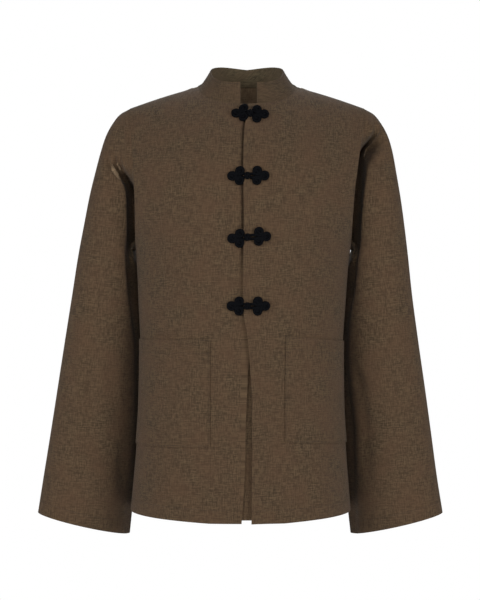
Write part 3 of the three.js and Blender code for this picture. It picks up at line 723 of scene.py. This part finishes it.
# %% Sleeves
SLEEVE_COLUMNS = [
    "innerX", "innerY", "innerZ", "outerX", "outerY", "outerZ", "depth", "left", "right", "sway",
]
SLEEVE = [
    [180, 5, -245, 204.3, -4, -26.8, 61.8, 1.2, 1.2, 0],
    [177.5, 12, -254, 215.3, -8, -40.8, 59.8, 4.2, 4.2, 0],
    [172, 21, -266, 226.3, -12, -62.8, 58.8, 7.2, 7.2, 0.5],
    [165, 29, -279, 234.3, -15, -90.8, 56.8, 12.2, 14.2, 1],
    [161, 33, -296, 241.3, -16, -122.8, 55.8, 13.2, 19.2, 1],
    [157, 37, -316, 248.8, -16, -159.6, 54.8, 13.2, 19.2, 1],
    [154, 41, -342, 255.8, -15, -201.6, 53.8, 10.2, 17.2, 1],
    [153, 45, -376, 263.8, -13, -253.6, 52.8, 7.2, 12.2, 0.5],
    [155, 49, -418, 272.2, -10, -317.6, 51.8, 8.2, 8.2, 0],
    [159, 50, -470, 282.8, -7, -389.6, 51.8, 11.2, 7.2, 0],
    [163, 50, -530, 295.2, -3, -469.6, 50.8, 16.2, 5.2, 0],
    [168, 49, -592, 307.2, 1, -547.6, 50.8, 14.2, 4.2, -0.5],
    [175, 46, -649, 317.2, 4, -611.6, 50.8, 11.2, 4.2, -1],
    [181, 43, -706, 326.8, 6, -669.6, 49.8, 10.2, 5.2, -0.5],
]
SLEEVE_BLEND, SLEEVE_MEET, REAR_ROOM, REAR_MEET = 4, 6, 0.5, 1.5
TUCK = [(1.5, 38, 1), (7, 68, 1), (15, 42, 0.95), (18.5, 6, 0.75)]      # out, back, share
TUCK_LOW = (-268, 30)
TUCK_TURN = 0.6               # sine of the angle round the arm at which the tuck has its full depth
REAR_CLOSING = {"first": -46, "step": 12, "last": 12, "over": 36}    # y of the sleeve's rear
TUCK_TOP = {1: (-50, 45, 0.4, 120), -1: (-106, 54, 0.7, 60)}       # height, soft, narrow, opens
SEAM_SINK = 0.4
AROUND = 144
RING_STEPS = 8


def armhole_ring(turn):
    x, z = arm_point(turn)
    front = turn < np.pi
    y = np.where(front, body_y(x, z, False), body_y(x, z, True))
    seam = (np.abs(y) <= SEAM_GAP)[..., None]
    normal = np.where(front[..., None], body_normal(x, z, False), body_normal(x, z, True))
    level = normal * np.array([1, 0, 1])
    return np.stack([x, y, z], -1), unit(np.where(seam, level, normal))


def body_side(y, z):
    width = np.where(z > UNDERARM_Z, armhole_x(z), torso_width(z))
    depth = np.where(y > 0, torso_back(z), torso_front(z))
    power = torso_power(z)
    return width * np.maximum(1 - (np.abs(y) / depth) ** power, 0) ** (1 / power)


def tucked(p, seam, turn, i, side):
    """Draws the sleeve's front into the deep fold of the armpit."""
    (out, back, share), (top, soft, narrow, opens) = TUCK[i], TUCK_TOP[side]
    below = top - p[:, 2]
    fold = ease(np.sin(turn) / TUCK_TURN) * ease(below / soft) * ease((p[:, 2] - TUCK_LOW[0]) / TUCK_LOW[1])
    floor_x = np.minimum(seam[:, 0], body_side(p[:, 1] + back * fold, p[:, 2]))
    place = floor_x + out * mix(narrow, 1, ease(below / opens))
    p[:, 0] = mix(p[:, 0], place, fold * share)
    p[:, 1] += back * fold
    return p


def sleeve_ring(i, turn, seam, side):
    row = dict(zip(SLEEVE_COLUMNS, SLEEVE[i]))
    inner = np.array([row["innerX"], row["innerY"], row["innerZ"]], float)
    outer = np.array([row["outerX"], row["outerY"], row["outerZ"]], float)
    centre, half = (inner + outer) / 2, (outer - inner) / 2
    along = unit(half)
    forward = np.array([0, -1, 0]) + along[1] * along
    forward = unit(forward)
    p = centre + half * np.cos(turn)[:, None] + forward * (row["depth"] * np.sin(turn))[:, None]
    p[:, 1] = mix(seam[:, 1], p[:, 1], ease((i + 1) / SLEEVE_BLEND))
    room = row["left" if side > 0 else "right"]
    closes_at = min(REAR_CLOSING["last"], REAR_CLOSING["step"] * i + REAR_CLOSING["first"])
    rear = ease((p[:, 1] - closes_at) / REAR_CLOSING["over"])
    gap, meet = mix(room, min(room, REAR_ROOM), rear), mix(SLEEVE_MEET, REAR_MEET, rear)
    limit = body_side(p[:, 1], p[:, 2]) + gap
    over = p[:, 0] - limit
    p[:, 0] = limit + (over + np.sqrt(over * over + meet ** 2)) / 2
    if i < len(TUCK):
        p = tucked(p, seam, turn, i, side)
    p[:, 0] += side * row["sway"]
    return p


# Soft folds of the sleeves, as seen from the front or the back: from, to, half width and depth. The first
# side is the wearer's left.
SLEEVE_FOLDS_FRONT = {
    1: [
        ((217, -84), (221, -122), 6, 2.0),
        ((206, -150), (214, -215), 10, -1.4),
        ((184, -441), (192, -468), 7, -4.0),
        ((194, -468), (204, -600), 8, -3.4),
        ((222, -505), (208, -560), 10, -1.8),
        ((232, -300), (246, -420), 16, 1.2),
        ((236, -560), (262, -600), 14, 1.4),
    ],
    -1: [
        ((214, -100), (206, -150), 14, -1.6),
        ((203, -112), (196, -140), 11, -1.6),
        ((237, -326), (240, -541), 10, -2.2),
        ((252, -340), (262, -520), 12, 1.2),
        ((192, -575), (187, -648), 9, -3.4),
        ((212, -430), (200, -520), 12, -1.4),
    ],
}
SLEEVE_FOLDS_BACK = [
    ((192, -140), (222, -205), 12, -3.0),
    ((200, -345), (256, -388), 13, -3.2),
    ((206, -398), (264, -432), 12, -2.6),
    ((214, -300), (250, -332), 12, -2.0),
    ((232, -470), (250, -640), 14, -2.0),
]
SLEEVE_AXIS = np.array([[205, 20, -130], [253, 25, -690]], float)
SLEEVE_OVAL = (72, 52)      # half the width and depth of a section, on average


def sleeve_places(points):
    """Flat places with straight threads: along the sleeve's axis, and round it."""
    start, end = SLEEVE_AXIS
    axis = unit(end - start)
    forward = np.array([0, -1, 0]) + axis[1] * axis
    outward = np.cross(unit(forward), axis)
    along = (points - start) @ axis
    ahead = (points - start) @ unit(forward) / SLEEVE_OVAL[1]
    turn = np.arctan2(ahead, (points - start) @ outward / SLEEVE_OVAL[0])
    turn = np.unwrap(turn, axis=1)
    turn -= 2 * np.pi * np.round(turn.mean(1, keepdims=True) / (2 * np.pi))
    marks = np.linspace(-3 * np.pi, 3 * np.pi, 601)
    steps = np.hypot(SLEEVE_OVAL[0] * np.diff(np.cos(marks)), SLEEVE_OVAL[1] * np.diff(np.sin(marks)))
    round_it = np.interp(turn, marks, np.concatenate([[0], np.cumsum(steps)]))
    return np.stack([round_it, -along], -1) * MM


FOLD_TURN = 0.35              # how far a face turns to the front or back before its folds are full


def folded(points, side):
    """Presses the sleeve's folds into its front and back."""
    tangent_around = np.roll(points, -1, 1) - np.roll(points, 1, 1)
    tangent_down = np.gradient(points, axis=0)
    outward = unit(np.cross(tangent_around, tangent_down))
    x, z = points[..., 0], points[..., 2]
    front = crease(x, z, SLEEVE_FOLDS_FRONT[side]) * ease(-outward[..., 1] / FOLD_TURN)
    rear = crease(x, z, SLEEVE_FOLDS_BACK) * ease(outward[..., 1] / FOLD_TURN)
    return points + outward * (front + rear)[..., None]


def sleeve_grid(side):
    turn = np.linspace(0, 2 * np.pi, AROUND + 1)
    seam, normal = armhole_ring(turn[:-1])
    first = seam - normal * SEAM_SINK
    rings = np.array([first] + [sleeve_ring(i, turn[:-1], seam, side) for i in range(len(SLEEVE))])
    places = np.arange(len(rings))
    at = np.linspace(0, len(rings) - 1, (len(rings) - 1) * RING_STEPS + 1)
    grid = np.zeros((len(at), AROUND, 3))
    for c in range(AROUND):
        for axis in range(3):
            grid[:, c, axis] = curve(places, rings[:, c, axis])(at)
    grid[RING_STEPS:] = folded(grid, side)[RING_STEPS:]
    grid = np.concatenate([grid, grid[:, :1]], 1)
    places = sleeve_places(grid)
    grid[..., 0] = side * grid[..., 0] + lean(grid[..., 2])
    return grid, places


for side, name in ((1, "sleeve_left"), (-1, "sleeve_right")):
    points, places = sleeve_grid(side)
    cloth = Cloth().grid(points, side < 0, places)
    SHEETS[name] = (cloth.piece("cloth_" + name, LINEN), cloth.area())
    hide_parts(name)

# %% [markdown]
# Each cloth piece is listed with the size it was cut to, and printed with its area and the share of that
# rectangle which it fills. The numbers are the flat rectangle that the pattern piece needs, measured along
# the threads of the made piece and round the made sleeve, without seam allowances. The area is the piece's
# own, measured above, because none of the pieces is a full rectangle.

# %% The cut of each piece
CUTS = {
    "back": (0.49, 0.74),
    "front_left": (0.25, 0.73),
    "front_right": (0.25, 0.73),
    "under_placket": (0.033, 0.645),
    "pocket_left": (0.17, 0.175),
    "pocket_right": (0.19, 0.17),
    "collar": (0.42, 0.041),
    "sleeve_left": (0.57, 0.71),
    "sleeve_right": (0.57, 0.685),
}
for name, (piece, area) in SHEETS.items():
    share = area / CUTS[name][0] / CUTS[name][1]
    print(name, "flat", CUTS[name], "area", round(area, 4), "share", round(share, 2))

# %% [markdown]
# The frogs are bent from a tube of bias-cut cloth, pressed flat against the jacket. One cord runs from
# the knot along the stem, makes three eyes and runs back. A function sweeps a round section along such a
# path, and the path lies on the fronts, each point lifted by the cord's radius.

# %% Cord and frogs
CORD_RADIUS = 2.3
FROGS = [
    # x, z, left end, right end, how far the left and the right leaf hang lower
    (4.4, -35, -25, 34, 0, 3),
    (0, -135.5, -31, 34, 0, 0),
    (0, -228.5, -31, 36.5, 3, 0),
    (0, -335, -32, 35, 0, 0),
]
LEAF_REACH, LEAF_RISE, EYE, EYE_TURNS = 11.6, 7.1, 5.4, 1.9
STEM_APART = (2.6, 2.7, 1.8)    # half the way between the stem's cords: at the knot, midway, in the leaf
LEAF_WEB = ((0.1, 4.6), (0.55, 3.6), (0.8, 2.6))    # share of the way to the tip, rise of the filling cords
KNOT = {"width": 4.3, "height": 6.4, "depth": 4.6}
CLIMB = 9


def on_closing(x, z, out):
    """The outermost cloth near the closing, moved out."""
    x, z, out = np.broadcast_arrays(np.asarray(x, float), np.asarray(z, float), np.asarray(out, float))
    edge = left_edge(z)
    sink = 1 - ease((x - 25) / (LAP_END - 25))
    step = LAP * np.where(x < edge, ease((x - edge + CLIMB) / (CLIMB - 2)), sink)
    point = np.zeros(x.shape + (3,))
    for side in (1, -1):
        mask = (x >= 0) if side > 0 else (x < 0)
        made = panel_point(side, np.abs(x), z, False, out=step + SEAM_GAP + out)
        point[mask] = made[mask]
    return point


def smooth_path(points, per=10):
    """A smooth curve through the points of an open path."""
    points = np.array(points, float)
    ends = np.concatenate([[2 * points[0] - points[1]], points, [2 * points[-1] - points[-2]]])
    t = np.linspace(0, 1, per, endpoint=False)[:, None]
    spans = []
    for a, b, c, d in zip(ends, ends[1:], ends[2:], ends[3:]):
        spans.append(0.5 * (2 * b + (c - a) * t + (2 * a - 5 * b + 4 * c - d) * t ** 2
                            + (3 * b - a - 3 * c + d) * t ** 3))
    return np.concatenate(spans + [points[-1:]])


def tube(cloth, path, radius, sides=12):
    """Sweeps a round section along a path and closes both ends with a dome."""
    path = np.asarray(path, float)
    step = unit(np.gradient(path, axis=0))
    across = np.cross(step[0], (0, 1, 0))
    if np.linalg.norm(across) < 0.1:
        across = np.cross(step[0], (1, 0, 0))
    rings = []
    angles = np.linspace(0, 2 * np.pi, sides + 1)
    dome = [(0.0, 0.05), (0.3, 0.7), (0.65, 0.95)]
    frames = []
    for p, d in zip(path, step):
        across = unit(across - d * (across @ d))
        frames.append((p, d, across, np.cross(d, across)))
    ends = [(frames[0][0] + frames[0][1] * radius * (a - 1), b, frames[0]) for a, b in dome]
    middle = [(p, 1.0, f) for f in frames for p in [f[0]]]
    tail = [(frames[-1][0] + frames[-1][1] * radius * (1 - a), b, frames[-1]) for a, b in dome[::-1]]
    for centre, share, (_, _, u, v) in ends + middle + tail:
        rings.append(centre + radius * share * (np.cos(angles)[:, None] * u + np.sin(angles)[:, None] * v))
    cloth.grid(np.array(rings), True)
    return cloth


def bias_cord(name):
    n = Nodes(name)
    flat = n.add("ShaderNodeTexCoord").outputs["UV"]
    turned = n.add("ShaderNodeMapping", Vector=flat, Rotation=(0, 0, 0.8), Scale=(1, 1, 1))
    ribs = n.add(
        "ShaderNodeTexWave", {"bands_direction": "X"}, Vector=turned.outputs[0], Scale=320.0, Distortion=0.6)
    mottle = n.add("ShaderNodeTexNoise", Vector=flat, Scale=700.0, Detail=3.0).outputs[0]
    colour = n.blend(mottle, (0.0012, 0.0013, 0.0018, 1), (0.0036, 0.0039, 0.0052, 1))
    n.tree.links.new(colour, n.shader.inputs["Base Color"])
    bump = n.add("ShaderNodeBump", Height=ribs.outputs["Fac"], Distance=0.0002, Strength=0.5)
    n.tree.links.new(bump.outputs[0], n.shader.inputs["Normal"])
    n.shader.inputs["Roughness"].default_value = 0.85
    n.shader.inputs["Specular IOR Level"].default_value = 0.05
    return n.material


CORD = bias_cord("cord")


def eye_path(x, z, start, direction=1):
    """A flat coil of cord: one full turn outside, then a tight turn that closes the eye."""
    turn = np.linspace(0, 2 * np.pi * EYE_TURNS, 44)
    ring = EYE * (1 - 0.82 * ease((turn / (2 * np.pi) - 0.8) / 1.0))
    angle = start + direction * turn
    return np.stack([x + ring * np.cos(angle), z + ring * np.sin(angle)], -1)


def leaf(frog, side):
    x0, knot_z, left_end, right_end, left_drop, right_drop = frog
    end, z0 = (right_end, knot_z - right_drop) if side > 0 else (left_end, knot_z - left_drop)
    knot_z = knot_z - (left_drop + right_drop) / 2
    shift = lean(np.float64(z0))
    tip = end - side * (EYE + CORD_RADIUS)
    inner = tip - side * LEAF_REACH
    near = x0 + side * (KNOT["width"] - 1.5)
    stem = [(near, knot_z), (mix(near, inner, 0.5), mix(knot_z, z0, 0.5)), (mix(inner, tip, 0.5), z0)]
    cloth = Cloth()
    paths = [
        eye_path(tip, z0, 0), eye_path(inner, z0 + LEAF_RISE, 0), eye_path(inner, z0 - LEAF_RISE, 0),
        *[[(x, z + turn * apart) for (x, z), apart in zip(stem, STEM_APART)] for turn in (1, -1)],
        *[[(mix(inner, tip, t), z0 + turn * rise) for t, rise in LEAF_WEB] for turn in (1, -1)],
    ]
    for path in paths:
        flat = smooth_path(path, 3)
        lift = np.full(len(flat), CORD_RADIUS * 0.9)
        tube(cloth, on_closing(flat[:, 0] - shift, flat[:, 1], lift), CORD_RADIUS * 0.93)
    return cloth


def ball_knot(frog):
    x0, z0 = frog[0], frog[1] - (frog[4] + frog[5]) / 2
    shift = lean(np.float64(z0))
    t = np.linspace(0, 6 * np.pi, 200)
    swing = 1.05 * np.sin(4 / 3 * t)
    bulge = 1 + 0.1 * np.cos(8 / 3 * t)
    a = (KNOT["width"] - 1.2) * bulge
    b = (KNOT["height"] - 1.2) * bulge
    c = (KNOT["depth"] - 1.0) * bulge
    x = x0 + a * np.cos(swing) * np.cos(t)
    z = z0 + b * np.sin(swing)
    y = c * np.cos(swing) * np.sin(t)
    base = on_closing(x - shift, z, np.zeros_like(x))
    centre = on_closing(np.float64(x0 - shift), np.float64(z0), np.float64(KNOT["depth"]))
    path = np.stack([base[:, 0], centre[1] + y, base[:, 2]], -1)
    cloth = Cloth()
    tube(cloth, path, 1.7, 10)
    rows = []
    for v in np.linspace(0.02, np.pi - 0.02, 13):
        w = np.linspace(0, 2 * np.pi, 25)
        rows.append(np.stack([
            base[0, 0] * 0 + centre[0] + (KNOT["width"] - 1.6) * np.sin(v) * np.cos(w),
            centre[1] + (KNOT["depth"] - 1.4) * np.sin(v) * np.sin(w),
            centre[2] + (KNOT["height"] - 1.6) * np.cos(v) + 0 * w], -1))
    cloth.grid(np.array(rows), True)
    return cloth


for number, frog in enumerate(FROGS, 1):
    made = {"left": leaf(frog, 1), "right": leaf(frog, -1), "knot": ball_knot(frog)}
    for part, cloth in made.items():
        node = f"frog_{number}_{part}"
        piece = cloth.piece("cord_" + node, CORD, 0)
        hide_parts(node)

# %% [markdown]
# The pockets, the hem, the cuffs and the collar are sewn down with rows of small stitches in thread of the
# cloth's own colour. Each stitch is a short rounded length of thread, half sunk in the cloth. A row
# keeps one distance from the edge, which is measured along the lines of the cloth's own grid.

# %% Rows of stitches
STITCH = {"length": 2.6, "gap": 1.0, "radius": 0.28, "clear": 2.0}
SEWN_IN = {"pocket": 2.5, "pocket_top": 20, "hem": 20, "cuff": 20, "collar": 3}


def inset(lines, distance):
    """The points that lie a distance along each line from its start."""
    steps = np.linalg.norm(np.diff(lines, axis=1), axis=-1)
    places = np.concatenate([np.zeros((len(lines), 1)), np.cumsum(steps, 1)], 1)
    return np.array([
        [np.interp(distance, at, line[:, i]) for i in range(3)] for at, line in zip(places, lines)])


def upward(grid):
    """The columns of a grid, each from its last row up."""
    return grid[::-1].transpose(1, 0, 2)


def stitch_row(cloth, path):
    """Lays stitches one behind the other along a path, clear of its two ends."""
    steps = np.linalg.norm(np.diff(path, axis=0), axis=-1)
    at = np.concatenate([[0], np.cumsum(steps)])
    pitch = STITCH["length"] + STITCH["gap"]
    for start in np.arange(STITCH["clear"], at[-1] - STITCH["clear"] - pitch, pitch):
        marks = start + np.linspace(0, STITCH["length"], 3)
        tube(cloth, np.stack([np.interp(marks, at, path[:, i]) for i in range(3)], -1), STITCH["radius"], 6)


def pocket_rows(side):
    points = pocket_grid(side, SEAM_GAP + POCKET_CLOTH)[0]
    top = points.transpose(1, 0, 2)
    sides = [inset(grid, SEWN_IN["pocket"]) for grid in (upward(points), points)]
    return [inset(top, SEWN_IN["pocket_top"]), *sides]


def front_rows(side):
    strip, panel = strip_grid(side)[0], outer_grid(side, FRONTS[side]["lines"][-1], False, FRONTS[side])[0]
    return [inset(upward(grid), SEWN_IN["hem"]) for grid in (strip, panel)]


ROWS = {
    "back": [inset(upward(outer_grid(side, 0, True)[0]), SEWN_IN["hem"]) for side in (1, -1)],
    "front_left": front_rows(1),
    "front_right": front_rows(-1),
    "pocket_left": pocket_rows(1),
    "pocket_right": pocket_rows(-1),
    "collar": [inset(upward(np.array(collar_rows)), SEWN_IN["collar"])],
    "sleeve_left": [inset(upward(sleeve_grid(1)[0]), SEWN_IN["cuff"])],
    "sleeve_right": [inset(upward(sleeve_grid(-1)[0]), SEWN_IN["cuff"])],
}
THREAD = linen(
    "thread", (0.028, 0.0180, 0.0090, 1), (0.050, 0.0330, 0.0175, 1), (0.042, 0.026, 0.0140, 1), 0.0004)
for name, rows in ROWS.items():
    thread = Cloth()
    for path in rows:
        stitch_row(thread, path)
    thread.piece("stitches_" + name, THREAD, 0)
